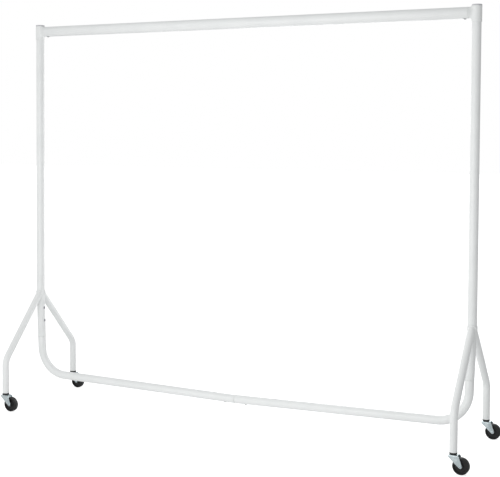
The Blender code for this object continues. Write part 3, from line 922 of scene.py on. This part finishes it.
bpy.ops.mesh.bevel(offset=RELIEF_RADIUS, segments=6)
settle(front_relief)
cut(first_fork, front_relief)
cut(first_fork, cylinder(STEM_RADIUS + JOINT_GAP, 0.02, (0, 0, fork_top)))
cut(first_fork, cylinder(AXLE_RADIUS + JOINT_GAP, 0.06, (CASTER_TRAIL, 0, axle_height), (0, 1, 0)))
apply_modifier(
    first_fork, "BEVEL", width=0.00025, segments=2, limit_method="ANGLE", angle_limit=math.radians(50)
)
smooth(first_fork, 35)
moved(first_fork, Matrix.Translation(swivel))
for side, end in corners:
    fork = copy_of(first_fork, f"caster_fork_{side}_{end}", swivel_shift[side, end])
    dress(fork, zinc, f"swivel_{side}_{end}", "zinc_plate", f"fork_{side}_{end}")
bpy.data.objects.remove(first_fork, do_unlink=True)

# ---------------------------------------------------------------- caster axles
# A zinc-plated hollow rivet through both cheeks: its ends are bored, and rolled over into round heads.

RIVET_BORE = 0.0017

axle_low, axle_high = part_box("axle_front_left")
head_end = (axle_high.y - axle_low.y) / 2
head_radius = (axle_high.z - axle_low.z) / 2
head_seat = cheek_outer + JOINT_GAP
half_axle = [
    (0.0, head_end - 0.0034),
    (RIVET_BORE, head_end - 0.0034),
    (RIVET_BORE, head_end - 0.0004),
    (RIVET_BORE + 0.0004, head_end),
    *arc((head_radius - 0.0018, head_end - 0.0018), 0.0018, 90, 0, 6),
    (head_radius, head_seat + 0.0002),
    (head_radius - 0.0002, head_seat),
    (AXLE_RADIUS, head_seat),
]
spindle = Vector((swivel_x + CASTER_TRAIL, foot_y, axle_height))
on_spindle = Matrix.Translation(spindle) @ Matrix.Rotation(math.radians(90), 4, "X")


def mirrored(half):
    """A half profile carried on to its mirror image across the middle."""
    return half + [(radius, -height) for radius, height in reversed(half)]


first_axle = moved(lathe("axle", mirrored(half_axle), 48), on_spindle)
for side, end in corners:
    axle = copy_of(first_axle, f"hollow_rivet_{side}_{end}", swivel_shift[side, end])
    dress(axle, zinc, f"swivel_{side}_{end}", "zinc_plate", f"axle_{side}_{end}")
bpy.data.objects.remove(first_axle, do_unlink=True)

# ---------------------------------------------------------------- wheels
# Each is one moulding in black nylon: a hub bored for the bush, a thin web with a raised ring, and a rim
# whose tread is crowned, with round shoulders. Running on floors has dulled it.

WHEEL_SIDES = 96
TREAD_SHOULDER = 0.0030
WEB_HALF = 0.0046

wheel_low, wheel_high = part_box("wheel_front_left")
wheel_radius = (wheel_high.z - wheel_low.z) / 2
hub_half = (wheel_high.y - wheel_low.y) / 2
bush_low, bush_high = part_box("bush_front_left")
hub_bore = (bush_high.z - bush_low.z) / 2 + JOINT_GAP
rim_half = hub_half - 0.0012
half_wheel = [
    (hub_bore, hub_half - 0.0003),
    (hub_bore + 0.0003, hub_half),
    *arc((0.0082, hub_half - 0.0008), 0.0008, 90, 0, 4),
    (0.0093, WEB_HALF + 0.0010),
    (0.0103, WEB_HALF),
    (0.0144, WEB_HALF),
    (0.0148, WEB_HALF + 0.0005),
    (0.0156, WEB_HALF + 0.0005),
    (0.0160, WEB_HALF),
    (wheel_radius - 0.0072, WEB_HALF),
    (wheel_radius - 0.0064, WEB_HALF + 0.0009),
    *arc((wheel_radius - 0.0050, rim_half - 0.0008), 0.0008, 180, 90, 4),
    (wheel_radius - 0.0043, rim_half),
    (wheel_radius - 0.0041, rim_half - 0.0003),
    (wheel_radius - 0.0037, rim_half - 0.0003),
    (wheel_radius - 0.0035, rim_half),
    *arc((wheel_radius - TREAD_SHOULDER, rim_half - TREAD_SHOULDER), TREAD_SHOULDER - 0.0001, 90, 12, 8),
    (wheel_radius - 0.00003, 0.0034),
    (wheel_radius, 0.0008),
]
wheel_profile = mirrored(half_wheel)
wheel_profile.append(wheel_profile[0])
first_wheel = moved(lathe("wheel", wheel_profile, WHEEL_SIDES), on_spindle)
tread_nylon = black_finish("tread_nylon", 160.0, 0.62, 0.34)
for side, end in corners:
    wheel = copy_of(first_wheel, f"moulded_wheel_{side}_{end}", swivel_shift[side, end])
    dress(wheel, tread_nylon, f"wheel_{side}_{end}", "black_nylon", f"wheel_{side}_{end}")
bpy.data.objects.remove(first_wheel, do_unlink=True)

# ---------------------------------------------------------------- inner pieces
# The spigots, the joiner and the wheels' bushes keep their CAD shape, in plated steel. The hidden CAD nodes
# get the finish of what stands for them.

finishes = {
    "white_powder_coat": powder_coat,
    "white_plastic": cap_plastic,
    "zinc_plate": zinc,
    "black_nylon": black_nylon,
}
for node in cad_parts.values():
    for place in node.material_slots:
        place.material = finishes[place.material.name]
